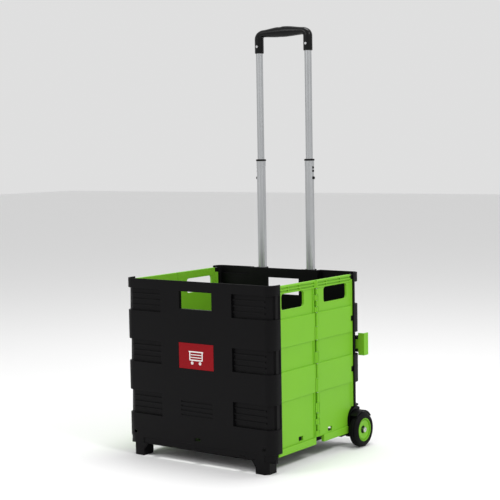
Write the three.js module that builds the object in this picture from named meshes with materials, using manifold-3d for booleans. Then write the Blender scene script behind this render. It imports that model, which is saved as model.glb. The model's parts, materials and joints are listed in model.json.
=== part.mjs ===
import * as THREE from 'three';
import { mergeVertices } from 'three/addons/utils/BufferGeometryUtils.js';
import Module from 'manifold-3d';

// Folding crate cart, millimetres, +Z up, front towards -Y, origin under the middle on the floor.
// The crate stands open, the handle is pulled out, the floor panel is down.

// ---- overall sizes ----
const WIDTH = 408; // over the corner posts
const DEPTH = 358; // front face to back face
const TOTAL_DEPTH = 380; // front face to the rear of the wheels
const HEIGHT = 406; // rim above the floor
const HANDLE_TOP = 983; // top of the grip above the floor
const GAP = 0.3; // between parts that touch
const WALL = 3.2; // moulded wall
const STEP = 6; // how far a pocket is set back from the face
const INNER = STEP + WALL; // deepest moulded surface of a panel
const MID_SET = 14; // how far the middle of the back panel is set back, to hold the tubes
const MID_DEEP = MID_SET + WALL;

// ---- heights of the bands that run round the crate ----
const LIP = 28; // bottom edge of the front panel
const CREASE = 43; // top of the lip
const POCKETS = [[97, 150], [216, 267], [333, 384]]; // low and high edge of each pocket row
const BACK_BOTTOM = 52; // bottom edge of the back panel, over the axle
const POST_BOTTOM = POCKETS[0][0] - WALL; // bottom of the back corner posts

// ---- where things stand ----
const FRONT = -TOTAL_DEPTH / 2;
const BACK = FRONT + DEPTH;
const WHEEL_R = 40;
const AXLE_Y = TOTAL_DEPTH / 2 - WHEEL_R;
const AXLE_Z = WHEEL_R;
const AXLE_R = 4;

// ---- panel corners ----
const FRONT_REACH = 35; // how far the front corners run back
const BACK_REACH = 27; // how far the back corners run forward
const POCKET_REACH = 20; // how far a pocket runs round a corner
const FRONT_CORNER = 20;
const BACK_CORNER = 14;
const STRIP = 4; // upright strip at the end of a corner
const RETURN_IN = WIDTH / 2 - WALL; // inner face of a corner where it runs back
const POCKET_FACE = WIDTH / 2 - STEP; // outer face of a pocket where it runs back
const POCKET_START = 96; // from the middle of the panel to the pockets

// ---- side walls ----
const SIDE_TOP = 402;
const SIDE_BOTTOM = 35;
const SKIRT_TOP = 50;
const SIDE_FACE = WIDTH / 2 - WALL - 0.5; // outer face of the raised bands
const SIDE_BASE = SIDE_FACE - 2.8; // outer face of the set-back bands
const SIDE_INSIDE = WIDTH / 2 - 11.5; // inner face
const SIDE_BANDS = [[SIDE_BOTTOM, SKIRT_TOP], [152, 216], [269, 330], [385, 388], [391.5, 394.5]];
const TOP_RAIL = [398, SIDE_TOP];
const END_X = SIDE_FACE - 5.3; // end hinge axes
const END_R = 5.3; // end barrel
const PIN_R = 2;
const FRONT_AXIS = FRONT + FRONT_REACH - 9;
const REAR_AXIS = BACK - BACK_REACH + 1;
const MID_Y = (FRONT_AXIS + REAR_AXIS) / 2;
const MID_X = SIDE_FACE + 0.7; // middle hinge axis, just outside the face so the faces can meet
const MID_R = 3.1;
const MID_PIN_R = 1.5;
const LUGS = [[70, 82], [176, 188], [294, 306], [391, 401]]; // panel lugs on the end hinges
const MID_CLEAR = MID_R + 0.6; // raised bands stop this far from the middle axis
// Middle hinge: bottom, count and length of each row of knuckles.
const KNUCKLE_ROWS = [
  [53, 4, 12.5], [106.5, 2, 22], [152.7, 2, 31], [217, 2, 25.5], [270, 2, 29.5], [331, 4, 12.5], [384.8, 1, 16],
];
const KNUCKLE_GAP = 0.7;
const LUG_GAP = 0.5;

// ---- floor ----
const FLOOR_HALF = 168;
const FLOOR_T = 5;
const FLOOR_AXIS_Y = FRONT + 20;
const FLOOR_AXIS_Z = 31.5;
const FLOOR_REAR = AXLE_Y - AXLE_R - 1.4; // swings up in front of the axle
const FLOOR_PIN_R = 1.6;
const FLOOR_LUGS = [-120, 0, 120]; // middles of the panel lugs
const FLOOR_LUG_W = 16;

// ---- wheels ----
const WHEEL_IN = WIDTH / 2; // inner side of the hub
const WHEEL_W = 23;
const TYRE_IN = 27;
const HOUSING_IN = WIDTH / 2 - 30; // its inner side
const HOUSING_R = 29.3; // round top of the wheel housing
const HOUSING_Z = 64; // its centre height
const ARCH_GAP = 1.6; // side wall to housing

// ---- handle ----
const TUBE_X = 70;
const BACK_MID = BACK - MID_SET;
const TUBE_Y = BACK_MID + 13;
const LOW_R = 10.5;
const UP_R = 8.3;
const TUBE_WALL = 1.2;
const LOW_TOP = 663;
const LOW_BOTTOM = 312;
const UP_BOTTOM = 566;
const UP_TOP = 946;
const SLEEVE_R = 14;
const SLEEVE_IN = 11.2;
const GRIP_BOTTOM = 922;
const GRIP_HALF = TUBE_X + 11;
const GRIP_T = 21;
const BUTTON_Z = 623;

// ---- latch ----
const LATCH_LOW = 211;
const LATCH_HIGH = 263;
const LATCH_X = WIDTH / 2 - 8;
const LATCH_Y = BACK - 1;
const LATCH_OUT = WIDTH / 2 + 14;

const wasm = await Module();
wasm.setup();

const group = new THREE.Group();
group.name = 'folding_crate_cart';

const COLOURS = {
  black: [0x1a1a1c, 0, 0.55],
  green: [0x78b833, 0, 0.5],
  metal: [0xb4b6b8, 0.9, 0.35],
  steel: [0x8c8e90, 0.9, 0.4],
  rubber: [0x141416, 0, 0.85],
  red: [0xb81423, 0, 0.5],
};

function material(kind) {
  const [color, metalness, roughness] = COLOURS[kind];
  return new THREE.MeshStandardMaterial({ color, metalness, roughness });
}

function solid(geometry) {
  const g = geometry.index ? geometry.toNonIndexed() : geometry;
  g.deleteAttribute('normal');
  g.deleteAttribute('uv');
  const m = mergeVertices(g, 1e-4);
  const triVerts = Uint32Array.from(m.index.array);
  const vertProperties = Float32Array.from(m.attributes.position.array);
  return new wasm.Manifold(new wasm.Mesh({ numProp: 3, vertProperties, triVerts }));
}

function add(name, body, kind) {
  const { vertProperties, triVerts } = body.getMesh();
  const g = new THREE.BufferGeometry();
  g.setAttribute('position', new THREE.BufferAttribute(Float32Array.from(vertProperties), 3));
  g.setIndex(new THREE.BufferAttribute(Uint32Array.from(triVerts), 1));
  g.computeVertexNormals();
  const mesh = new THREE.Mesh(g, material(kind));
  mesh.name = name;
  group.add(mesh);
}

function addPair(name, body, kind) {
  add(`${name}_right`, body, kind);
  add(`${name}_left`, body.mirror([1, 0, 0]), kind);
}

function box(x0, x1, y0, y1, z0, z1) {
  const g = new THREE.BoxGeometry(x1 - x0, y1 - y0, z1 - z0);
  g.translate((x0 + x1) / 2, (y0 + y1) / 2, (z0 + z1) / 2);
  return solid(g);
}

// A round bar along x, y or z from one end to the other, centred on the other two coordinates.
function rod(axis, r, from, to, a, b, sides = 20) {
  const g = new THREE.CylinderGeometry(r, r, to - from, sides);
  const mid = (from + to) / 2;
  if (axis === 'x') g.rotateZ(-Math.PI / 2).translate(mid, a, b);
  if (axis === 'y') g.translate(a, mid, b);
  if (axis === 'z') g.rotateX(Math.PI / 2).translate(a, b, mid);
  return solid(g);
}

// A flat outline [x, y] carried up from z0 to z1.
function prism(points, z0, z1) {
  const shape = new THREE.Shape(points.map(([x, y]) => new THREE.Vector2(x, y)));
  const g = new THREE.ExtrudeGeometry(shape, { depth: z1 - z0, bevelEnabled: false });
  g.translate(0, 0, z0);
  return solid(g);
}

// A turned ring about the x axis from a closed profile of [radius, x].
function ring(profile, y, z, sides) {
  const points = profile.map(([r, x]) => new THREE.Vector2(r, x));
  const g = new THREE.LatheGeometry([...points, points[0]], sides);
  g.rotateZ(-Math.PI / 2).translate(0, y, z);
  return solid(g);
}

function join(parts) {
  return parts.reduce((a, b) => a.add(b));
}

function cut(body, parts) {
  return parts.reduce((a, b) => a.subtract(b), body);
}

function arc(cx, cy, r, start, end, steps) {
  const out = [];
  for (let i = 0; i <= steps; i += 1) {
    const t = ((start + ((end - start) * i) / steps) * Math.PI) / 180;
    out.push([cx + r * Math.cos(t), cy + r * Math.sin(t)]);
  }
  return out;
}

// Plan of one panel corner as [x, depth behind the face]: from `start` along the face, round the
// corner and `reach` along the side, set back by `set` and `thick` deep.
function cornerPlan(start, set, thick, reach, radius) {
  const cx = WIDTH / 2 - radius;
  const outer = arc(cx, radius, radius - set, -90, 0, 3);
  const inner = arc(cx, radius, radius - set - thick, 0, -90, 3);
  const edge = WIDTH / 2 - set;
  return [[start, set], ...outer, [edge, reach], [edge - thick, reach], ...inner, [start, set + thick]];
}

// Both corners of a panel band. side is +1 for the front panel and -1 for the back panel.
function corners(side, start, set, thick, reach, z0, z1) {
  const radius = side > 0 ? FRONT_CORNER : BACK_CORNER;
  const face = side > 0 ? FRONT : BACK;
  const plan = cornerPlan(start, set, thick, reach, radius);
  const right = prism(plan.map(([x, d]) => [x, face + side * d]), z0, z1);
  return [right, right.mirror([1, 0, 0])];
}

// A block on a panel, by depth behind its face.
function onPanel(side, x0, x1, d0, d1, z0, z1) {
  const face = side > 0 ? FRONT : BACK;
  const [y0, y1] = side > 0 ? [face + d0, face + d1] : [face - d1, face - d0];
  return box(x0, x1, y0, y1, z0, z1);
}

function bothSides(part) {
  return [part, part.mirror([1, 0, 0])];
}

// One row of pockets: set-back corners, a flush middle and webs round the edges.
function pocketRow(side, [low, high]) {
  const flush = side > 0 ? 0 : MID_SET;
  const deep = side > 0 ? INNER : MID_DEEP;
  const reach = side > 0 ? FRONT_REACH : BACK_REACH;
  const outer = WIDTH / 2 - 1.6;
  const parts = [
    ...corners(side, POCKET_START, STEP, WALL, POCKET_REACH, low - 1, high + 1),
    ...corners(side, POCKET_START, 0, INNER, POCKET_REACH, low - WALL, low),
    ...corners(side, POCKET_START, 0, INNER, POCKET_REACH, high, high + WALL),
    onPanel(side, -POCKET_START - 1, POCKET_START + 1, flush, flush + WALL, low - 1, high + 1),
    ...bothSides(onPanel(side, POCKET_START, POCKET_START + WALL, 0, deep, low - 1, high + 1)),
    ...bothSides(onPanel(side, RETURN_IN, outer, POCKET_REACH - 1, reach - 1, low - 1, high + 1)),
    ...bothSides(onPanel(side, POCKET_FACE - 1, outer, POCKET_REACH - 2, POCKET_REACH, low - 1, high + 1)),
  ];
  return parts;
}

// Level louvre ribs in a front pocket.
function louvres([low, high]) {
  const pitch = (high - low) / 4;
  const end = WIDTH / 2 - FRONT_CORNER;
  return [1, 2, 3].flatMap((i) => {
    const z = low + pitch * i;
    return bothSides(onPanel(1, POCKET_START + 1, end, STEP - 2.4, STEP + 1, z - 1.5, z + 1.5));
  });
}

// The flush bands between the pocket rows.
function flushBands(side, start, reach, bottom) {
  const edges = [bottom, ...POCKETS.flat(), HEIGHT];
  const parts = [];
  for (let i = 0; i < edges.length; i += 2) {
    if (edges[i + 1] > edges[i]) parts.push(...corners(side, start, 0, WALL, reach, edges[i], edges[i + 1]));
  }
  return parts;
}

function handHole(side) {
  return [onPanel(side, -45, 45, -1, MID_DEEP + 1, 344, 383)];
}

function handFrame(side) {
  const [near, far] = side > 0 ? [0.5, INNER] : [MID_SET, MID_DEEP];
  return onPanel(side, -49, 49, near, far, 340, 387);
}

// A lug that holds an end hinge pin, with its root in the corner wall.
function lugs(axisY, side, rows) {
  const parts = rows.flatMap(([low, high]) => {
    const eye = rod('z', END_R - 0.5, low, high, END_X, axisY, 10);
    const y0 = Math.min(axisY - side * 4.8, axisY + side * 0.9);
    const y1 = Math.max(axisY - side * 4.8, axisY + side * 0.9);
    return bothSides(eye.add(box(END_X, WIDTH / 2 - 1, y0, y1, low, high)));
  });
  return parts;
}

function pinBores(axisY) {
  return bothSides(rod('z', PIN_R + GAP, 20, HEIGHT + 5, END_X, axisY, 8));
}

function foot() {
  const out = WIDTH / 2 - 15.5;
  const inn = out - 32;
  const rear = FRONT + FRONT_REACH - 1;
  const high = SIDE_BOTTOM - 2;
  const plan = [[inn, FRONT], [out - 8, FRONT], [out, FRONT + 8], [out, rear], [inn, rear]];
  const block = prism(plan, 0, LIP);
  const wall = box(inn, out - 8, FRONT, FRONT + WALL, 0, CREASE);
  const outer = box(out - WALL, out, FRONT + 9, rear, 0, high);
  const tie = box(out - WALL, WIDTH / 2 - 2, FRONT + 12, FRONT + 20, LIP - 4, high);
  const hollow = box(inn + WALL, out - WALL, FRONT + 9, rear - WALL, 4, LIP + 1);
  const flare = solidWedge(inn);
  return bothSides(cut(block, [hollow]).add(wall).add(outer).add(tie).add(flare));
}

// The sloped web where the panel's bottom edge runs down into a foot.
function solidWedge(inn) {
  const g = new THREE.ExtrudeGeometry(
    new THREE.Shape([[inn - 12, LIP + 2], [inn + 2, LIP + 2], [inn + 2, LIP - 12], [inn - 1, LIP - 12]]
      .map(([x, z]) => new THREE.Vector2(x, z))),
    { depth: WALL, bevelEnabled: false },
  );
  g.rotateX(Math.PI / 2).translate(0, FRONT + WALL, 0);
  return solid(g);
}

function floorLugs() {
  const top = FLOOR_AXIS_Z + 3;
  return FLOOR_LUGS.flatMap((x) => {
    const a = x - FLOOR_LUG_W / 2;
    const b = x + FLOOR_LUG_W / 2;
    const arm = box(a, b, FRONT + 1, FLOOR_AXIS_Y, FLOOR_AXIS_Z - 2.5, top);
    return [arm, rod('x', 3.2, a, b, FLOOR_AXIS_Y, FLOOR_AXIS_Z, 16)];
  });
}

function frontPanel() {
  const parts = [
    ...flushBands(1, -1, FRONT_REACH, CREASE),
    ...corners(1, -1, 1.5, WALL, POCKET_REACH, LIP, CREASE + 1),
    ...POCKETS.flatMap((row) => pocketRow(1, row)),
    ...POCKETS.flatMap(louvres),
    ...bothSides(onPanel(1, WIDTH / 2 - WALL, WIDTH / 2, FRONT_REACH - STRIP, FRONT_REACH, CREASE, HEIGHT)),
    handFrame(1),
    ...lugs(FRONT_AXIS, 1, LUGS),
    ...foot(),
    ...floorLugs(),
    onPanel(1, -52, 52, 0.5, WALL + 2, 208, 273),
  ];
  const grooves = [108, 118, 128, 138].map((z) => onPanel(1, -44, 44, -1, 1.5, z - 1.5, z + 1.5));
  return cut(join(parts), [
    ...handHole(1),
    ...pinBores(FRONT_AXIS),
    onPanel(1, -48.5, 48.5, -1, 1.8, 211.5, 269.5),
    onPanel(1, -8, 8, -1, INNER, 52, 58),
    ...bothSides(onPanel(1, 176, 184, -1, INNER, 51, 57)),
    rod('x', FLOOR_PIN_R + GAP, -FLOOR_HALF, FLOOR_HALF, FLOOR_AXIS_Y, FLOOR_AXIS_Z, 12),
    ...grooves,
  ]);
}

function backPanel() {
  const low = WIDTH / 2 - 30.3;
  const parts = [
    ...flushBands(-1, POCKET_START, BACK_REACH, POST_BOTTOM),
    onPanel(-1, -POCKET_START - 1, POCKET_START + 1, MID_SET, MID_DEEP, POST_BOTTOM, HEIGHT),
    ...bothSides(onPanel(-1, POCKET_START, POCKET_START + WALL, 0, MID_DEEP, POST_BOTTOM, HEIGHT)),
    ...POCKETS.flatMap((row) => pocketRow(-1, row)),
    ...bothSides(onPanel(-1, WIDTH / 2 - WALL, WIDTH / 2, BACK_REACH - STRIP, BACK_REACH, POST_BOTTOM, HEIGHT)),
    onPanel(-1, -low, low, MID_SET, MID_DEEP, BACK_BOTTOM, POST_BOTTOM + 1),
    handFrame(-1),
    ...lugs(REAR_AXIS, -1, LUGS.slice(1)),
  ];
  return cut(join(parts), [...handHole(-1), ...pinBores(REAR_AXIS)]);
}

// Base plate between two y values, raised bands clear of the middle hinge, and the skirt.
function sidePlate(y0, y1, skirt0, skirt1) {
  const bands = SIDE_BANDS.slice(1).concat([TOP_RAIL]);
  const [b0, b1] = y1 < MID_Y ? [y0, MID_Y - MID_CLEAR] : [MID_Y + MID_CLEAR, y1];
  const parts = [box(SIDE_INSIDE, SIDE_BASE, y0, y1, SKIRT_TOP, SIDE_TOP)];
  bands.forEach(([low, high]) => parts.push(box(SIDE_INSIDE + 1, SIDE_FACE, b0, b1, low, high)));
  parts.push(box(SIDE_INSIDE, SIDE_FACE, skirt0, skirt1, SIDE_BOTTOM, SKIRT_TOP + 1));
  return parts;
}

// The barrel that turns on an end pin, with the slots that clear the panel's lugs.
function barrel(axisY, low) {
  return rod('z', END_R, low, SIDE_TOP, END_X, axisY, 12);
}

function lugSlots(axisY, rows) {
  const reach = END_R + 2.2;
  return rows.map(([low, high]) => {
    const top = high > 390 ? SIDE_TOP + 1 : high + LUG_GAP;
    return box(END_X - reach, WIDTH / 2, axisY - reach, axisY + reach, low - LUG_GAP, top);
  });
}

// Middle hinge knuckles of one half: way is -1 for the front half and +1 for the rear half.
function knuckles(way, first) {
  const parts = [];
  KNUCKLE_ROWS.forEach(([bottom, count, length]) => {
    for (let i = first; i < count; i += 2) {
      const low = bottom + i * (length + KNUCKLE_GAP);
      const eye = rod('z', MID_R, low, low + length, MID_X, MID_Y, 10);
      const ya = Math.min(MID_Y, MID_Y + way * 7);
      const yb = Math.max(MID_Y, MID_Y + way * 7);
      parts.push(eye.add(box(SIDE_BASE - 1, MID_X, ya, yb, low, low + length)));
    }
  });
  return parts;
}

// Upright ribs beside the middle hinge in the set-back bands.
function hingeRibs(way) {
  const y = MID_Y + way * 10.5;
  return [[SKIRT_TOP, 152], [216, 269], [330, 385]].map(
    ([low, high]) => box(SIDE_BASE - 1, SIDE_FACE - 0.4, y - 1.3, y + 1.3, low, high),
  );
}

function roundHole(y0, y1, z0, z1, r) {
  const outline = [
    ...arc(y1 - r, z1 - r, r, 0, 90, 4),
    ...arc(y0 + r, z1 - r, r, 90, 180, 4),
    ...arc(y0 + r, z0 + r, r, 180, 270, 4),
    ...arc(y1 - r, z0 + r, r, 270, 360, 4),
  ];
  const shape = new THREE.Shape(outline.map(([y, z]) => new THREE.Vector2(y, z)));
  const g = new THREE.ExtrudeGeometry(shape, { depth: 30, bevelEnabled: false });
  g.rotateX(Math.PI / 2).rotateZ(Math.PI / 2).translate(SIDE_INSIDE - 10, 0, 0);
  return solid(g);
}

function sideFront() {
  const end = MID_Y - 0.5;
  const parts = [
    ...sidePlate(FRONT_AXIS, end, FRONT_AXIS + 1, MID_Y - 6),
    barrel(FRONT_AXIS, SKIRT_TOP),
    ...knuckles(-1, 0),
    ...hingeRibs(-1),
  ];
  return cut(join(parts), [
    roundHole(FRONT_AXIS + 21, MID_Y - 45, 349, 384, 7),
    box(SIDE_INSIDE - 1, SIDE_FACE + 1, MID_Y - 72, MID_Y - 55, 54, 64),
    ...lugSlots(FRONT_AXIS, LUGS),
    rod('z', PIN_R + GAP, 0, HEIGHT, END_X, FRONT_AXIS, 8),
    rod('z', MID_PIN_R + GAP, 0, HEIGHT, MID_X, MID_Y, 8),
  ]);
}

function sideRear() {
  const start = MID_Y + 0.5;
  const archY = AXLE_Y - HOUSING_R - ARCH_GAP;
  const parts = [
    ...sidePlate(start, REAR_AXIS, MID_Y + 26, archY),
    barrel(REAR_AXIS, SKIRT_TOP),
    ...knuckles(1, 1),
    ...hingeRibs(1),
  ];
  return cut(join(parts), [
    roundHole(MID_Y + 34, REAR_AXIS - 21, 349, 384, 7),
    box(SIDE_INSIDE - 1, SIDE_FACE + 1, MID_Y + 47, MID_Y + 64, 54, 64),
    rod('x', HOUSING_R + ARCH_GAP, SIDE_INSIDE - 9, WIDTH / 2, AXLE_Y, HOUSING_Z, 24),
    box(SIDE_INSIDE - 9, WIDTH / 2, archY, AXLE_Y, SIDE_BOTTOM - 1, HOUSING_Z),
    box(SIDE_INSIDE - 9, WIDTH / 2, REAR_AXIS - 7, REAR_AXIS + 7, SIDE_BOTTOM - 1, POST_BOTTOM + 0.4),
    ...lugSlots(REAR_AXIS, LUGS.slice(1)),
    rod('z', PIN_R + GAP, 0, HEIGHT, END_X, REAR_AXIS, 8),
    rod('z', MID_PIN_R + GAP, 0, HEIGHT, MID_X, MID_Y, 8),
  ]);
}

function floorPanel() {
  const z0 = FLOOR_AXIS_Z - FLOOR_T / 2;
  const z1 = FLOOR_AXIS_Z + FLOOR_T / 2;
  const parts = [
    box(-FLOOR_HALF, FLOOR_HALF, FLOOR_AXIS_Y, FLOOR_REAR, z0, z1),
    rod('x', 3.2, -FLOOR_HALF, FLOOR_HALF, FLOOR_AXIS_Y, FLOOR_AXIS_Z, 16),
  ];
  const slots = FLOOR_LUGS.map((x) => {
    const half = FLOOR_LUG_W / 2 + LUG_GAP;
    return box(x - half, x + half, FLOOR_AXIS_Y - 5, FLOOR_AXIS_Y + 5, z0 - 2, z1 + 2);
  });
  const grooves = [-112, -56, 0, 56, 112].map(
    (x) => box(x - 2, x + 2, FLOOR_AXIS_Y + 24, FLOOR_REAR - 16, z1 - 1.2, z1 + 1),
  );
  const bore = rod('x', FLOOR_PIN_R + GAP, -200, 200, FLOOR_AXIS_Y, FLOOR_AXIS_Z, 12);
  return cut(join(parts), [...slots, ...grooves, bore]);
}

// The wheel housing at the right rear corner, with the fender.
function housing() {
  const back = BACK - 1;
  const inner = END_X - 4;
  const plate = rod('x', HOUSING_R, inner, WHEEL_IN - 2, AXLE_Y, HOUSING_Z, 24)
    .add(box(inner, WHEEL_IN - 2, AXLE_Y - HOUSING_R, AXLE_Y, 26, HOUSING_Z))
    .intersect(box(0, WIDTH, AXLE_Y - 60, back, 26, POST_BOTTOM - GAP));
  const deep = REAR_AXIS + END_R + 1;
  const block = box(HOUSING_IN, inner + 1, deep, back, 20, POST_BOTTOM - GAP);
  const root = fenderArc(WHEEL_IN - 5, WHEEL_IN - 0.5, 75, 105);
  const fender = fenderArc(WHEEL_IN - 1.6, WHEEL_IN + 17, 38, 128);
  const bore = rod('x', AXLE_R + GAP, 100, 300, AXLE_Y, AXLE_Z, 16);
  return join([plate, block, root, fender]).subtract(bore);
}

// The ledge on the housing's inner side, just under the rear of the floor.
function floorLedge() {
  const top = FLOOR_AXIS_Z - FLOOR_T / 2 - GAP;
  return box(HOUSING_IN - GAP - 22, HOUSING_IN - GAP, FLOOR_REAR - 14, AXLE_Y + 11, 20, top);
}

function fenderArc(x0, x1, from, to) {
  const outer = WHEEL_R + 5.5;
  const inner = WHEEL_R + 2.5;
  const points = [
    ...arc(AXLE_Y, AXLE_Z, outer, from, to, 8),
    ...arc(AXLE_Y, AXLE_Z, inner, to, from, 8),
  ];
  const shape = new THREE.Shape(points.map(([y, z]) => new THREE.Vector2(y, z)));
  const g = new THREE.ExtrudeGeometry(shape, { depth: x1 - x0, bevelEnabled: false });
  g.rotateX(Math.PI / 2).rotateZ(Math.PI / 2).translate(x0, 0, 0);
  return solid(g);
}

function tyre() {
  const a = WHEEL_IN;
  const b = WHEEL_IN + WHEEL_W;
  const r = WHEEL_R;
  const profile = [
    [TYRE_IN + GAP, a + 2], [r - 6, a], [r - 2, a + 1.6], [r, a + 6],
    [r, b - 6], [r - 2, b - 1.6], [r - 6, b], [TYRE_IN + GAP, b - 2],
  ];
  return ring(profile, AXLE_Y, AXLE_Z, 28);
}

function hub() {
  const a = WHEEL_IN;
  const b = WHEEL_IN + WHEEL_W;
  const bore = AXLE_R + GAP;
  const profile = [
    [bore, a + 1], [9, a + 1], [9, a + 9], [TYRE_IN - 4, a + 6], [TYRE_IN, a + 2.5],
    [TYRE_IN, b - 2.5], [TYRE_IN - 2.5, b - 2.5], [TYRE_IN - 4, b - 6], [11, b - 9], [10, b - 3], [bore, b - 3],
  ];
  return ring(profile, AXLE_Y, AXLE_Z, 28);
}

function pipe(r, z0, z1) {
  const outer = rod('z', r, z0, z1, TUBE_X, TUBE_Y, 20);
  return outer.subtract(rod('z', r - TUBE_WALL, z0 - 1, z1 + 1, TUBE_X, TUBE_Y, 20));
}

function sleeve() {
  const low = BACK_BOTTOM;
  const high = HEIGHT - 12;
  const body = rod('z', SLEEVE_R, low, high, TUBE_X, TUBE_Y, 20)
    .add(box(TUBE_X - 19, TUBE_X + 19, BACK_MID + GAP, BACK_MID + GAP + 3, low, high));
  return cut(body, [
    box(TUBE_X - 30, TUBE_X + 30, BACK - 30, BACK_MID + GAP, 0, HEIGHT),
    rod('z', SLEEVE_IN, 0, HEIGHT, TUBE_X, TUBE_Y, 20),
    box(TUBE_X - 30, TUBE_X, TUBE_Y - 6, TUBE_Y + 6, 0, HEIGHT),
    buttonSlot(),
  ]);
}

function guideBush() {
  const low = HEIGHT - 12 + GAP;
  const body = rod('z', SLEEVE_R, low, HEIGHT, TUBE_X, TUBE_Y, 20)
    .add(box(TUBE_X - 19, TUBE_X + 19, BACK_MID + GAP, BACK_MID + GAP + 3, low, HEIGHT));
  return cut(body, [
    box(TUBE_X - 30, TUBE_X + 30, BACK - 30, BACK_MID + GAP, 0, HEIGHT + 1),
    rod('z', LOW_R + GAP, 0, HEIGHT + 1, TUBE_X, TUBE_Y, 20),
    buttonSlot(),
  ]);
}

// Lets the push button down past the bush and into the sleeve.
function buttonSlot() {
  return box(TUBE_X, TUBE_X + 30, TUBE_Y - 4.2, TUBE_Y + 4.2, HEIGHT - 42, HEIGHT + 1);
}

function collar() {
  const skirt = rod('z', LOW_R + 1.8, LOW_TOP - 12, LOW_TOP + 5, TUBE_X, TUBE_Y, 20);
  return cut(skirt, [
    rod('z', LOW_R + GAP, LOW_TOP - 20, LOW_TOP + GAP, TUBE_X, TUBE_Y, 20),
    rod('z', UP_R + GAP, LOW_TOP - 20, LOW_TOP + 9, TUBE_X, TUBE_Y, 20),
  ]);
}

// The bridge that ties the two lower tubes together behind the back panel.
function brace() {
  const low = LOW_BOTTOM - 16;
  const bar = box(-TUBE_X, TUBE_X, TUBE_Y - 5, TUBE_Y + 5, low, low + 15);
  const ends = bothSides(
    rod('z', LOW_R, low, LOW_BOTTOM - GAP, TUBE_X, TUBE_Y, 20)
      .add(rod('z', LOW_R - TUBE_WALL - GAP, low + 5, LOW_BOTTOM + 14, TUBE_X, TUBE_Y, 20)),
  );
  return join([bar, ...ends]);
}

function tubePlug() {
  const low = UP_BOTTOM - 10;
  return rod('z', LOW_R - TUBE_WALL - GAP, low, UP_BOTTOM - GAP, TUBE_X, TUBE_Y, 20)
    .add(rod('z', UP_R - TUBE_WALL - GAP, low + 2, UP_BOTTOM + 12, TUBE_X, TUBE_Y, 20));
}

function grip() {
  const out = GRIP_HALF - 3;
  const inn = TUBE_X - 8;
  const top = HANDLE_TOP - 3;
  const low = GRIP_BOTTOM + 3;
  const outline = [
    [out, low], ...arc(out - 20, top - 24, 20, 0, 90, 5), [36, top - 1], [12, top], [0, top - 1],
    [-12, top], [-36, top - 1], ...arc(20 - out, top - 24, 20, 90, 180, 5), [-out, low],
    [-inn, low], [-inn, top - 22], [6 - inn, top - 16], [-30, top - 16.5], [0, top - 17],
    [30, top - 16.5], [inn - 6, top - 16], [inn, top - 22], [inn, low],
  ];
  const shape = new THREE.Shape(outline.map(([x, z]) => new THREE.Vector2(x, z)));
  const g = new THREE.ExtrudeGeometry(shape, {
    depth: GRIP_T - 6, bevelThickness: 3, bevelSize: 3, bevelSegments: 1, curveSegments: 4,
  });
  g.rotateX(Math.PI / 2).translate(0, TUBE_Y + GRIP_T / 2 - 3, 0);
  const bores = bothSides(rod('z', UP_R + GAP, 800, UP_TOP + GAP, TUBE_X, TUBE_Y, 20));
  const face = TUBE_Y - GRIP_T / 2;
  const screws = bothSides(
    rod('y', 3 + GAP, face - 5, face + 1.2, TUBE_X, UP_TOP - 8, 16)
      .add(rod('y', 1.5 + GAP, face - 5, TUBE_Y, TUBE_X, UP_TOP - 8, 12)),
  );
  return cut(solid(g), [...bores, ...screws]);
}

function gripScrew() {
  const face = TUBE_Y - GRIP_T / 2;
  const head = rod('y', 3, face - 0.4, face + 1.2 - GAP, TUBE_X, UP_TOP - 8, 16);
  return head.add(rod('y', 1.5, face + 0.5, TUBE_Y - 2, TUBE_X, UP_TOP - 8, 12));
}

function latchBracket() {
  const face = BACK - STEP + GAP;
  const ears = [[218, 226], [248, 256]].flatMap(([low, high]) => [
    box(WIDTH / 2 - 26, LATCH_X, face, LATCH_Y + 3, low, high),
    rod('z', 4.5, low, high, LATCH_X, LATCH_Y, 16),
  ]);
  const plate = box(WIDTH / 2 - 26, WIDTH / 2 - 15, face, BACK + 3, 218, 256);
  return join([plate, ...ears]).subtract(rod('z', 1.8, 200, 280, LATCH_X, LATCH_Y, 12));
}

function latch() {
  const y = LATCH_Y - 4;
  const parts = [
    rod('z', 4, 226 + GAP, 248 - GAP, LATCH_X, LATCH_Y, 16),
    box(LATCH_X, LATCH_OUT - 1, y, y + 3, 226 + GAP, 248 - GAP),
    box(LATCH_X + 5.5, LATCH_OUT, y, y + 3, LATCH_LOW, LATCH_HIGH),
    box(LATCH_OUT - 3, LATCH_OUT, y, y + 19, LATCH_LOW, LATCH_HIGH),
  ];
  return join(parts).subtract(rod('z', 1.5 + GAP, 200, 280, LATCH_X, LATCH_Y, 12));
}

add('back_panel', backPanel(), 'black');
add('front_panel', frontPanel(), 'black');
addPair('side_front', sideFront(), 'green');
addPair('side_rear', sideRear(), 'green');
add('floor_panel', floorPanel(), 'black');
add('label_plate', onPanel(1, -48.2, 48.2, 0.3, 1.5, 211.8, 269.2), 'red');
addPair('front_pin', rod('z', PIN_R, 46, SIDE_TOP, END_X, FRONT_AXIS, 8), 'steel');
addPair('rear_pin', rod('z', PIN_R, POST_BOTTOM + 2, SIDE_TOP, END_X, REAR_AXIS, 8), 'steel');
addPair('mid_pin', rod('z', MID_PIN_R, SKIRT_TOP + 3, SIDE_TOP - 6, MID_X, MID_Y, 8), 'steel');
const floorPin = rod('x', FLOOR_PIN_R, 2 - FLOOR_HALF, FLOOR_HALF - 2, FLOOR_AXIS_Y, FLOOR_AXIS_Z, 12);
add('floor_pin', floorPin, 'steel');

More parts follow.
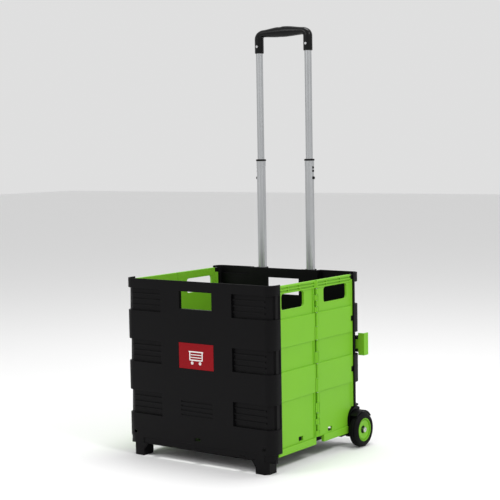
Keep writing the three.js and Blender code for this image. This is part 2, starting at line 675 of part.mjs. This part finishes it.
addPair('wheel_housing', housing(), 'black');
addPair('floor_ledge', floorLedge(), 'black');
addPair('tyre', tyre(), 'rubber');
addPair('hub', hub(), 'green');
add('axle', rod('x', AXLE_R, 1 - WHEEL_IN - WHEEL_W, WHEEL_IN + WHEEL_W - 1, AXLE_Y, AXLE_Z, 16), 'steel');
addPair('washer', rod('x', 8, WHEEL_IN - 1.6, WHEEL_IN + 0.6, AXLE_Y, AXLE_Z, 16)
  .subtract(rod('x', AXLE_R + GAP, 100, 300, AXLE_Y, AXLE_Z, 16)), 'steel');
addPair('axle_cap', rod('x', 7, WHEEL_IN + WHEEL_W - 2.6, WHEEL_IN + WHEEL_W, AXLE_Y, AXLE_Z, 16)
  .subtract(rod('x', AXLE_R + GAP, 100, WHEEL_IN + WHEEL_W - 1 + GAP, AXLE_Y, AXLE_Z, 16)), 'metal');

addPair('tube_sleeve', sleeve(), 'black');
addPair('guide_bush', guideBush(), 'black');
const buttonHole = rod('x', 3.5 + GAP, TUBE_X, TUBE_X + 20, TUBE_Y, BUTTON_Z, 12);
addPair('lower_tube', pipe(LOW_R, LOW_BOTTOM, LOW_TOP).subtract(buttonHole), 'metal');
addPair('collar', collar(), 'black');
add('handle_brace', brace(), 'black');
const screwHole = rod('y', 1.5 + GAP, TUBE_Y - 12, TUBE_Y, TUBE_X, UP_TOP - 8, 12);
addPair('upper_tube', pipe(UP_R, UP_BOTTOM, UP_TOP).subtract(screwHole), 'metal');
addPair('tube_plug', tubePlug(), 'black');
addPair('button', rod('x', 3.5, TUBE_X + UP_R + 1.5, TUBE_X + LOW_R + 2.5, TUBE_Y, BUTTON_Z, 12), 'black');
add('grip', grip(), 'black');
addPair('grip_screw', gripScrew(), 'steel');
add('latch_bracket', latchBracket(), 'black');
add('latch', latch(), 'green');
add('latch_pin', rod('z', 1.5, 219, 255, LATCH_X, LATCH_Y, 12), 'steel');

export default group;
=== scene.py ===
# %% [markdown]
# # Folding crate cart
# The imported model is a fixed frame: every piece made here goes where the frame says and rides on
# one of its bodies, so the crate still folds and the handle still slides.

# %% Load the frame
import json
import math

import bmesh
import bpy
from mathutils import Matrix, Vector


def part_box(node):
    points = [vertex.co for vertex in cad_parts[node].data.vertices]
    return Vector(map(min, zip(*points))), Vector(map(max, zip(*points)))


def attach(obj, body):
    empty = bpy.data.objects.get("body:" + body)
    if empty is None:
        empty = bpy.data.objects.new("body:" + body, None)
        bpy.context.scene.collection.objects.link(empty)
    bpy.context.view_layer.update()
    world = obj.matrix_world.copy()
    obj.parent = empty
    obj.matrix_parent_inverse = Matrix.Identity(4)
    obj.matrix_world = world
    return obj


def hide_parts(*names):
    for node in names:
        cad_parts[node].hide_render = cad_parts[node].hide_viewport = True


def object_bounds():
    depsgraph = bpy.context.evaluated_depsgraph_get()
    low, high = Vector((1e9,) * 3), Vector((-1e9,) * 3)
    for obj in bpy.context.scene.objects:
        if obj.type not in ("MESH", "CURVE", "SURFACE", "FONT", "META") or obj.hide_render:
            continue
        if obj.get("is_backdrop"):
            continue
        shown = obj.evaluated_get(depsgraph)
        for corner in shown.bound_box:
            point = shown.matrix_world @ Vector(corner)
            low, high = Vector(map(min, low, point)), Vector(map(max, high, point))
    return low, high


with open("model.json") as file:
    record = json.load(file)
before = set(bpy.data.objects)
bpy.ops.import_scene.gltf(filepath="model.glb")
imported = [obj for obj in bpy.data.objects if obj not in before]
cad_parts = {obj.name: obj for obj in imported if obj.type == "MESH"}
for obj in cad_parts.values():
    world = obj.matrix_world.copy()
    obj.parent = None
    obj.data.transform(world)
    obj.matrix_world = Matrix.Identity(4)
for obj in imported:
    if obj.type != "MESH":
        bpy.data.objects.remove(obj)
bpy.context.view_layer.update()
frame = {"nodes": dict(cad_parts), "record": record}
nodes = frame["nodes"]
body_of_node = {n: b for b, names in frame["record"]["behaviour"]["bodies"].items() for n in names}
slot_of_node = {s["node"]: s["material_slot"] for s in frame["record"]["subparts"]}

# %% [markdown]
# ## Camera
# A long lens from far away keeps the crate's upright edges nearly parallel. The camera could be
# aimed with a constraint, but a rotation matrix built from its three axes also holds the slight
# roll, and leaves nothing live in the scene.

# %% Camera
AZIMUTH, ELEVATION, ROLL = (math.radians(a) for a in (35.99, 4.53, -0.95))
CAMERA_AT = Vector((1.748, -2.388, 0.696))
LENS_PX = 1289

back = Vector((math.sin(AZIMUTH) * math.cos(ELEVATION), -math.cos(AZIMUTH) * math.cos(ELEVATION),
               math.sin(ELEVATION)))
level = (-back).cross(Vector((0, 0, 1))).normalized()
upright = level.cross(-back)
side = level * math.cos(ROLL) + upright * math.sin(ROLL)
top = -level * math.sin(ROLL) + upright * math.cos(ROLL)
camera = bpy.data.objects.new("camera", bpy.data.cameras.new("camera"))
camera.data.sensor_width = 36
camera.data.lens = LENS_PX * 36 / 500
camera.data.clip_end = 60
camera.matrix_world = Matrix.Translation(CAMERA_AT) @ Matrix((side, top, back)).transposed().to_4x4()
bpy.context.scene.collection.objects.link(camera)
bpy.context.scene.camera = camera
print("lens", round(camera.data.lens, 1), "mm")

# %% [markdown]
# ## Shader sums
# A finish is a tree of nodes. Wiring them one by one is long to read, so a small class wraps a
# socket and lets a sum be written as Python: `1 - mask * 0.3` adds its own Math nodes. Every other
# node comes from one method, which sets the node first and then feeds its sockets.


# %% Wires and finishes
class Wire:
    def __init__(self, finish, socket):
        self.finish, self.socket = finish, socket

    def maths(self, operation, a, b):
        return self.finish.node("ShaderNodeMath", {"operation": operation}, {0: a, 1: b})

    def __add__(self, other):
        return self.maths("ADD", self, other)

    def __radd__(self, other):
        return self.maths("ADD", other, self)

    def __sub__(self, other):
        return self.maths("SUBTRACT", self, other)

    def __rsub__(self, other):
        return self.maths("SUBTRACT", other, self)

    def __mul__(self, other):
        return self.maths("MULTIPLY", self, other)

    def __rmul__(self, other):
        return self.maths("MULTIPLY", other, self)


class Finish:
    def __init__(self, name):
        self.material = bpy.data.materials.new(name)
        self.material.use_nodes = True
        self.tree = self.material.node_tree
        self.shader = next(n for n in self.tree.nodes if n.type == "BSDF_PRINCIPLED")

    def feed(self, socket, value):
        if isinstance(value, Wire):
            self.tree.links.new(value.socket, socket)
        else:
            socket.default_value = value

    def node(self, kind, settings, sockets, out=0):
        made = self.tree.nodes.new(kind)
        for key, value in settings.items():
            if key == "stops":
                for spot, (place, colour) in zip(made.color_ramp.elements, value):
                    spot.position, spot.color = place, colour
            else:
                setattr(made, key, value)
        for key, value in sockets.items():
            self.feed(made.inputs[key], value)
        return Wire(self, made.outputs[out])

    def place(self, stretch=(1, 1, 1)):
        spot = self.node("ShaderNodeTexCoord", {}, {}, "Object")
        return self.node("ShaderNodeMapping", {}, {"Vector": spot, "Scale": stretch})

    def noise(self, scale, detail=2.0, stretch=(1, 1, 1)):
        wires = {"Vector": self.place(stretch), "Scale": scale, "Detail": detail}
        return self.node("ShaderNodeTexNoise", {}, wires)

    def blend(self, factor, a, b):
        wires = {"Factor": factor, 6: (*a, 1), 7: (*b, 1)}
        return self.node("ShaderNodeMix", {"data_type": "RGBA"}, wires, 2)

    def surface(self, **values):
        for key, value in values.items():
            self.feed(self.shader.inputs[key.replace("_", " ")], value)

    def bump(self, height, distance, strength=1.0):
        wires = {"Height": height, "Distance": distance, "Strength": strength}
        self.feed(self.shader.inputs["Normal"], self.node("ShaderNodeBump", {}, wires))


# %% [markdown]
# ## Moulded plastic
# The crate is injection moulded. Up close the tool leaves a fine grain, and over a hand's width
# the gloss wanders where the plastic cooled unevenly. Handling polishes and scuffs it in long
# upright streaks. A single colour would look like paint, so noise at those three sizes drives the
# colour, the roughness and a very shallow bump.


# %% Plastic finishes
def plastic(name, dark, light, rough, grain=1400.0, depth=0.00006, shine=0.3):
    finish = Finish(name)
    cloud = finish.noise(9.0, 3.0)
    streak = finish.noise(28.0, 4.0, (1.0, 1.0, 0.12))
    fine = finish.noise(grain, 2.0)
    mottle = finish.noise(90.0, 3.0)
    finish.surface(
        Base_Color=finish.blend(cloud * 0.55 + streak * 0.35 + mottle * 0.1, dark, light),
        Roughness=rough + cloud * 0.10 + streak * 0.12 - 0.11 + fine * 0.06,
        Specular_IOR_Level=shine,
    )
    finish.bump(fine + mottle * 0.5, depth)
    return finish.material


BLACK = plastic("black_moulding", (0.0014, 0.0013, 0.0016), (0.0034, 0.0031, 0.0036), 0.42, shine=0.10)
GREEN = plastic("green_moulding", (0.160, 0.440, 0.016), (0.196, 0.500, 0.024), 0.42, 1900.0, 0.00004, 0.2)
GRIP_BLACK = plastic("grip_moulding", (0.0012, 0.0012, 0.0014), (0.0030, 0.0030, 0.0034), 0.26,
                     700.0, 0.0001, 0.2)
RUBBER = plastic("tyre_rubber", (0.0022, 0.0022, 0.0025), (0.0052, 0.0050, 0.0052), 0.60, 500.0, 0.0001, 0.10)
RED = plastic("label_red", (0.225, 0.001, 0.004), (0.270, 0.002, 0.007), 0.36, 2600.0, 0.00002, 0.12)
WHITE = plastic("label_white", (0.78, 0.78, 0.76), (0.88, 0.88, 0.86), 0.38, 2600.0, 0.00002, 0.25)

# %% [markdown]
# ## Metal
# The handle tubes are drawn aluminium with a satin coat, so their fine lines run along the tube.
# Noise stretched a hundred times along Z gives the lines. The pins and axle are plated steel,
# where the noise is even in all directions.


# %% Metal finishes
def metal(name, dark, light, rough, stretch, scale):
    finish = Finish(name)
    lines = finish.noise(scale, 3.0, stretch)
    cloud = finish.noise(14.0, 2.0)
    finish.surface(
        Base_Color=finish.blend(lines * 0.6 + cloud * 0.4, dark, light),
        Metallic=1.0,
        Roughness=rough + lines * 0.14 + cloud * 0.08 - 0.09,
    )
    finish.bump(lines, 0.00003)
    return finish.material


ALUMINIUM = metal("satin_aluminium", (0.40, 0.41, 0.42), (0.56, 0.57, 0.58), 0.34, (1, 1, 0.01), 900.0)
STEEL = metal("plated_steel", (0.42, 0.42, 0.43), (0.62, 0.62, 0.63), 0.30, (1, 1, 1), 400.0)

FINISH_OF_SLOT = {"black_plastic": BLACK, "green_plastic": GREEN, "tube_metal": ALUMINIUM,
                  "steel": STEEL, "tyre": RUBBER, "label": RED}

# %% [markdown]
# ## From a bmesh to a piece
# Every new shape ends the same way: faces made smooth where they turn gently and sharp where they
# turn hard, then linked at the origin, given a finish and set to ride on its body. The Weighted
# Normal modifier lets the big flat faces win at a bevel, or they would look dented.


# %% Piece helper
def piece(name, bm, body, finish, stands_for=(), turn=38):
    for face in bm.faces:
        face.smooth = True
    for edge in bm.edges:
        edge.smooth = edge.is_manifold and edge.calc_face_angle() < math.radians(turn)
    mesh = bpy.data.meshes.new(name)
    bm.to_mesh(mesh)
    bm.free()
    mesh.materials.append(finish)
    made = bpy.data.objects.new(name, mesh)
    bpy.context.scene.collection.objects.link(made)
    even = made.modifiers.new("even_shading", "WEIGHTED_NORMAL")
    even.keep_sharp = True
    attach(made, body)
    if stands_for:
        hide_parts(*stands_for)
    return made


# %% [markdown]
# ## Mouldings with soft edges
# No moulding has a knife edge. The frame's solids have the right shape and sharp edges, so each is
# copied, its loose triangles are merged, the flat ones are joined into whole faces, and its long
# edges are bevelled. A live Bevel modifier would do the same, but the operator can be told which
# edges to leave alone, such as the short ones round small holes.


# %% Soften a solid
def softened(node, width, shortest=0.006, steps=2):
    bm = bmesh.new()
    bm.from_mesh(nodes[node].data)
    bmesh.ops.remove_doubles(bm, verts=bm.verts, dist=0.00001)
    bmesh.ops.dissolve_limit(bm, angle_limit=math.radians(0.6), verts=bm.verts, edges=bm.edges)
    hard = [e for e in bm.edges if e.is_manifold and e.calc_length() > shortest
            and e.calc_face_angle() > math.radians(50)]
    bmesh.ops.bevel(bm, geom=hard, offset=width, offset_type="OFFSET", segments=steps, profile=0.5,
                    affect="EDGES", clamp_overlap=False, material=-1)
    bmesh.ops.triangulate(bm, faces=[f for f in bm.faces if len(f.verts) > 4])
    print(node, "softened,", len(hard), "edges,", len(bm.faces), "faces")
    return bm


SOFTENED = {
    "front_panel": 0.0007, "back_panel": 0.0007, "floor_panel": 0.0005,
    "side_front_right": 0.0006, "side_front_left": 0.0006, "side_rear_right": 0.0006,
    "side_rear_left": 0.0006, "wheel_housing_right": 0.0007, "wheel_housing_left": 0.0007,
    "floor_ledge_right": 0.0006, "floor_ledge_left": 0.0006,
    "tube_sleeve_right": 0.0005, "tube_sleeve_left": 0.0005, "guide_bush_right": 0.0005,
    "guide_bush_left": 0.0005, "handle_brace": 0.0007, "latch": 0.0008, "latch_bracket": 0.0006,
    "lower_tube_right": 0.0002, "lower_tube_left": 0.0002, "upper_tube_right": 0.0002,
    "upper_tube_left": 0.0002,
}
for name, width in SOFTENED.items():
    slot = slot_of_node[name]
    piece(f"{name}_moulding", softened(name, width), body_of_node[name], FINISH_OF_SLOT[slot], [name])

# %% [markdown]
# ## Small solids that stay
# Pins, washers and screws are right as they are, and only need their finish.

# %% Finish the rest
for name, node in nodes.items():
    node.data.materials.clear()
    node.data.materials.append(FINISH_OF_SLOT[slot_of_node[name]])
print(sum(not n.hide_render for n in nodes.values()), "frame solids still shown")

# %% [markdown]
# ## Turned shapes
# Wheels, collars and caps are round, so each is one outline spun about its axis. The outline is a
# chain of [radius, along] points and spin turns it into a closed ring; its doubles are merged where
# it meets itself.


# %% Spin an outline
def turned(outline, axis, centre, steps=64):
    bm = bmesh.new()
    along = Vector(axis)
    out = along.orthogonal().normalized()
    verts = [bm.verts.new(Vector(centre) + out * r + along * a) for r, a in outline]
    edges = [bm.edges.new((a, b)) for a, b in zip(verts, verts[1:] + verts[:1])]
    bmesh.ops.spin(bm, geom=verts + edges, cent=centre, axis=along, angle=math.tau, steps=steps,
                   use_merge=True)
    bmesh.ops.remove_doubles(bm, verts=bm.verts, dist=0.000005)
    bmesh.ops.recalc_face_normals(bm, faces=bm.faces)
    return bm


# %% [markdown]
# ## Wheels
# The tyre is a plain rubber ring with two shallow tread grooves and a bead where it grips the hub.
# The hub is a green dish: a raised lip, a groove inside it, a face that slopes in and a recess round the
# axle.
# A black ring laid in that recess is painted shade. Each is one closed outline, so that nothing needs
# joining.

# %% Wheels
BORE = 0.0043  # clears the axle
for side_name, sign in (("right", 1), ("left", -1)):
    low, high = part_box(f"tyre_{side_name}")
    centre = Vector(((low.x + high.x) / 2, (low.y + high.y) / 2, (low.z + high.z) / 2))
    radius, half = (high.z - low.z) / 2, (high.x - low.x) / 2
    hub_low, hub_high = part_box(f"hub_{side_name}")
    lip = (hub_high.z - hub_low.z) / 2
    tread = [(radius - 0.0002, -0.0045), (radius - 0.0016, -0.0038), (radius - 0.0016, -0.0028),
             (radius, -0.0021), (radius, 0.0021), (radius - 0.0016, 0.0028),
             (radius - 0.0016, 0.0038), (radius - 0.0002, 0.0045)]
    shoulder = [(radius - 0.0012, 0.0078), (radius - 0.0036, 0.0101), (radius - 0.0066, half - 0.0004),
                (lip + 0.0036, half), (lip + 0.0018, half - 0.0012), (lip + 0.0003, half - 0.0022)]
    outline = [(r, -a) for r, a in reversed(shoulder)] + tread + shoulder
    tyre = turned(outline, (sign, 0, 0), centre, 72)
    piece(f"tyre_{side_name}_rubber", tyre, f"wheel_{side_name}", RUBBER, [f"tyre_{side_name}"])

    rim = [(lip - 0.0050, -0.0075), (lip - 0.0010, -0.0088), (lip, -0.0080), (lip, half - 0.0022),
           (lip - 0.0006, half - 0.0014), (lip - 0.0020, half - 0.0012), (lip - 0.0026, half - 0.0020)]
    dish = [(lip - 0.0030, half - 0.0052), (lip - 0.0048, half - 0.0056), (lip - 0.0054, half - 0.0036),
            (0.0150, half - 0.0052), (0.0096, half - 0.0058), (0.0088, half - 0.0066)]
    hub_outline = [(BORE, -0.0095), (0.009, -0.0095), (0.0094, -0.0060), *rim, *dish,
                   (0.0086, half - 0.0095), (BORE, half - 0.0095)]
    hub = turned(hub_outline, (sign, 0, 0), centre, 72)
    piece(f"hub_{side_name}_dish", hub, f"wheel_{side_name}", GREEN, [f"hub_{side_name}"])

    # Painted shade: a black ring laid in the recess round the axle, standing in for the dark of the recess.
    ring = turned([(0.0046, half - 0.0094), (0.0084, half - 0.0094), (0.0084, half - 0.0080),
                   (0.0046, half - 0.0074)], (sign, 0, 0), centre, 40)
    piece(f"hub_{side_name}_painted_recess_shade", ring, f"wheel_{side_name}", BLACK)

    cap_low, cap_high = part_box(f"axle_cap_{side_name}")
    face = (cap_high.x if sign > 0 else -cap_low.x) - abs(centre.x)
    cap = turned([(BORE, face - 0.0026), (0.0058, face - 0.0026), (0.0062, face - 0.0020),
                  (0.0060, face - 0.0008), (0.0050, face - 0.0001), (0.0010, face), (0.0010, face - 0.0006),
                  (BORE, face - 0.0007)], (sign, 0, 0), centre, 40)
    piece(f"axle_cap_{side_name}_dome", cap, "back_frame", STEEL, [f"axle_cap_{side_name}"])
print("wheels made")

# %% [markdown]
# ## Collars
# A black collar caps each lower tube and the upper tube slides through it. Its skirt is pressed
# inside a thin metal band, so from outside only a narrow black lip shows above the tube. The lip
# and the band are two outlines spun about the tube's axis.

# %% Collars
for side_name in ("right", "left"):
    low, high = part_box(f"collar_{side_name}")
    centre = Vector(((low.x + high.x) / 2, (low.y + high.y) / 2, 0))
    outer = (high.x - low.x) / 2
    tube_low, tube_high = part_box(f"lower_tube_{side_name}")
    tube = (tube_high.x - tube_low.x) / 2
    seat = high.z - 0.0042
    outline = [(0.0087, seat - 0.0040), (outer - 0.0016, seat - 0.0040), (outer - 0.0016, seat),
               (outer - 0.0002, seat), (outer, seat + 0.0004), (outer, high.z - 0.0012),
               (outer - 0.0006, high.z - 0.0004), (outer - 0.0018, high.z), (0.0087, high.z)]
    lip = turned(outline, (0, 0, 1), centre, 48)
    piece(f"collar_{side_name}_lip", lip, "handle_lower", BLACK, [f"collar_{side_name}"])
    band = turned([(tube, low.z), (tube + 0.0006, low.z + 0.0002), (tube + 0.0006, seat - 0.0002),
                   (tube, seat)], (0, 0, 1), centre, 48)
    piece(f"collar_{side_name}_band", band, "handle_lower", ALUMINIUM)
print("collars lipped from", round(seat, 4), "to", round(high.z, 4))

# %% [markdown]
# ## Grip
# The grip is one moulding: two round sockets that the upper tubes plug into, and a bar that is
# thickest in its middle. Each is a ring that is copied along a path and scaled as it goes. The
# outline could be extruded in one go, but then its section would be a slab, and a hand wants an
# oval. The rings are bridged to each other and the last ones are filled.


# %% Grip
def swept(stations, sides=28):
    bm = bmesh.new()
    loops = []
    for at, turn_by, wide, deep in stations:
        made = bmesh.ops.create_circle(bm, cap_ends=False, radius=1, segments=sides)["verts"]
        bmesh.ops.scale(bm, vec=(wide, deep, 1), verts=made)
        bmesh.ops.rotate(bm, matrix=Matrix.Rotation(turn_by, 3, "Y"), verts=made)
        bmesh.ops.translate(bm, vec=at, verts=made)
        loops.append([e for v in made for e in v.link_edges])
    for a, b in zip(loops, loops[1:]):
        bmesh.ops.bridge_loops(bm, edges=list(set(a) | set(b)))
    ends = [e for e in bm.edges if e.is_boundary]
    bmesh.ops.holes_fill(bm, edges=ends, sides=0)
    bmesh.ops.recalc_face_normals(bm, faces=bm.faces)
    return bm


low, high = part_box("grip")
tube_low, tube_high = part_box("upper_tube_right")
grip_y = (low.y + high.y) / 2
reach_x = (tube_low.x + tube_high.x) / 2
socket, depth = high.x - reach_x, (high.y - low.y) / 2
bar_z, bend = high.z - 0.0114, 0.0150
inner_x = reach_x - bend
stations = [((-reach_x, grip_y, low.z), 0, socket - 0.0008, depth - 0.0008),
            ((-reach_x, grip_y, low.z + 0.0008), 0, socket, depth),
            ((-reach_x, grip_y, low.z + 0.018), 0, socket, depth),
            ((-reach_x, grip_y, bar_z - bend), 0, socket, depth)]
for n in range(1, 9):
    a = math.radians(90 * n / 9)
    at = (-reach_x + bend * (1 - math.cos(a)), grip_y, bar_z - bend + bend * 0.80 * math.sin(a))
    stations.append((at, a, socket - (socket - 0.0087) * math.sin(a) ** 2, depth - 0.0004))
for n in range(-10, 11):
    t = n / 10
    swell = math.cos(t * math.pi / 2) ** 1.3
    dip = 0.0009 * math.exp(-((t + 0.16) / 0.09) ** 2)
    at = (t * inner_x, grip_y, bar_z - 0.0030 + 0.0014 * swell - dip / 2)
    stations.append((at, math.radians(90), 0.0087 + 0.0040 * swell - dip, depth - 0.0006 + 0.0004 * swell))
for at, a, wide, deep in reversed(stations[:12]):
    stations.append(((-at[0], at[1], at[2]), math.pi - a, wide, deep))
piece("grip_moulding", swept(stations), "handle_upper", GRIP_BLACK, ["grip"], 50)
print("grip from", round(low.z, 3), "to", round(high.z, 3))

# %% [markdown]
# ## Label
# The front carries a small printed plate. The print here is a plain picture of a crate on wheels:
# thin white shapes laid on the red plate, with no lettering.


# %% Label
def slab(centre, size, edge=0.0002):
    bm = bmesh.new()
    bmesh.ops.create_cube(bm, size=1)
    bmesh.ops.scale(bm, vec=size, verts=bm.verts)
    bmesh.ops.translate(bm, vec=centre, verts=bm.verts)
    bmesh.ops.bevel(bm, geom=bm.edges[:], offset=edge, segments=2, profile=0.5, affect="EDGES", material=-1)
    return bm


low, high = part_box("label_plate")
middle = (low + high) / 2
plate = slab(middle, (high.x - low.x, high.y - low.y, high.z - low.z), 0.0004)
piece("label_face", plate, "front", RED, ["label_plate"])


def printed(name, x, z, wide, tall):
    bar = slab(Vector((middle.x + x, low.y - 0.00012, middle.z + z)), (wide, 0.0004, tall), 0.0001)
    return piece(name, bar, "front", WHITE)


printed("print_crate_top", 0.0, 0.010, 0.040, 0.0026)
printed("print_crate_base", 0.0, -0.0085, 0.034, 0.0026)
printed("print_crate_left", -0.0172, 0.0, 0.0026, 0.018)
printed("print_crate_right", 0.0172, 0.0, 0.0026, 0.018)
printed("print_slat_a", 0.0, 0.0035, 0.030, 0.0018)
printed("print_slat_b", 0.0, -0.0025, 0.030, 0.0018)
for n, x in enumerate((-0.011, 0.011)):
    centre = Vector((middle.x + x, low.y - 0.00012, middle.z - 0.0150))
    wheel = turned([(0.0012, -0.0002), (0.0034, -0.0002), (0.0034, 0.0002), (0.0012, 0.0002)],
                   (0, 1, 0), centre, 32)
    piece(f"print_wheel_{n}", wheel, "front", WHITE)

# %% [markdown]
# ## Small mouldings on the walls and tubes
# The top rail of each wall has short upright ribs that stop the mould's long lines from warping.
# Under each collar the tube carries two black clips. They are small, but they catch the light, and
# a wall without them looks like sheet. A rib is a cube with its edges bevelled, sunk a little
# into the wall that it belongs to.

# %% Ribs and clips
for side_name, sign in (("right", 1), ("left", -1)):
    for half_name, places in (("front", (0.050, 0.094)), ("rear", (0.045, 0.105))):
        low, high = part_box(f"side_{half_name}_{side_name}")
        outside = high.x if sign > 0 else low.x
        for n, back_by in enumerate(places):
            y = low.y + back_by
            at = Vector((outside - sign * 0.0050, y, high.z - 0.0072))
            rib = slab(at, (0.0026, 0.0022, 0.0120), 0.0003)
            name = f"rail_rib_{half_name}_{side_name}_{n}"
            piece(name, rib, f"{side_name}_{half_name}", GREEN)
    low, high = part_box(f"lower_tube_{side_name}")
    centre = (low + high) / 2
    for n, z in enumerate((high.z - 0.0155, high.z - 0.0235)):
        at = Vector((high.x if side_name == "right" else low.x, centre.y, z)) - Vector((sign * 0.0004, 0, 0))
        clip = slab(at, (0.0022, 0.0064, 0.0052), 0.0005)
        piece(f"tube_clip_{side_name}_{n}", clip, "handle_lower", BLACK)
print("ribs and clips made")

# %% [markdown]
# ## Floor and light
# A pale floor, an even pale world and three soft lights: one from the front left, one on the green
# wall and one above, so that every ledge has a light top and a soft shadow under it. The Standard
# view keeps the plastics as deep as their own colours; the default view would wash the black out.

# %% Floor
bm = bmesh.new()
bmesh.ops.create_grid(bm, x_segments=2, y_segments=2, size=14)
mesh = bpy.data.meshes.new("floor")
bm.to_mesh(mesh)
bm.free()
floor_finish = Finish("pale_floor")
floor_finish.surface(Base_Color=(0.86, 0.86, 0.86, 1), Roughness=0.75)
mesh.materials.append(floor_finish.material)
floor = bpy.data.objects.new("floor", mesh)
bpy.context.scene.collection.objects.link(floor)
floor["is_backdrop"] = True

# %% Lights
world = bpy.data.worlds.new("studio")
bpy.context.scene.world = world
world.use_nodes = True
world.node_tree.nodes["Background"].inputs["Color"].default_value = (1, 1, 1, 1)
world.node_tree.nodes["Background"].inputs["Strength"].default_value = 0.74
bpy.context.scene.view_settings.view_transform = "Standard"


def softbox(name, at, size, power):
    light = bpy.data.lights.new(name, "AREA")
    light.shape, light.size, light.energy = "SQUARE", size, power
    made = bpy.data.objects.new(name, light)
    made.location = at
    made.rotation_euler = (Vector((0, 0, 0.35)) - Vector(at)).to_track_quat("-Z", "Y").to_euler()
    bpy.context.scene.collection.objects.link(made)


softbox("key", (-1.4, -2.6, 2.3), 1.0, 24)
softbox("side", (2.6, -0.6, 2.5), 0.7, 30)
softbox("top", (0.2, 0.4, 2.8), 1.0, 34)

# %% Finish
low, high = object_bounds()
print("visual box", [round(v, 3) for v in low], [round(v, 3) for v in high])
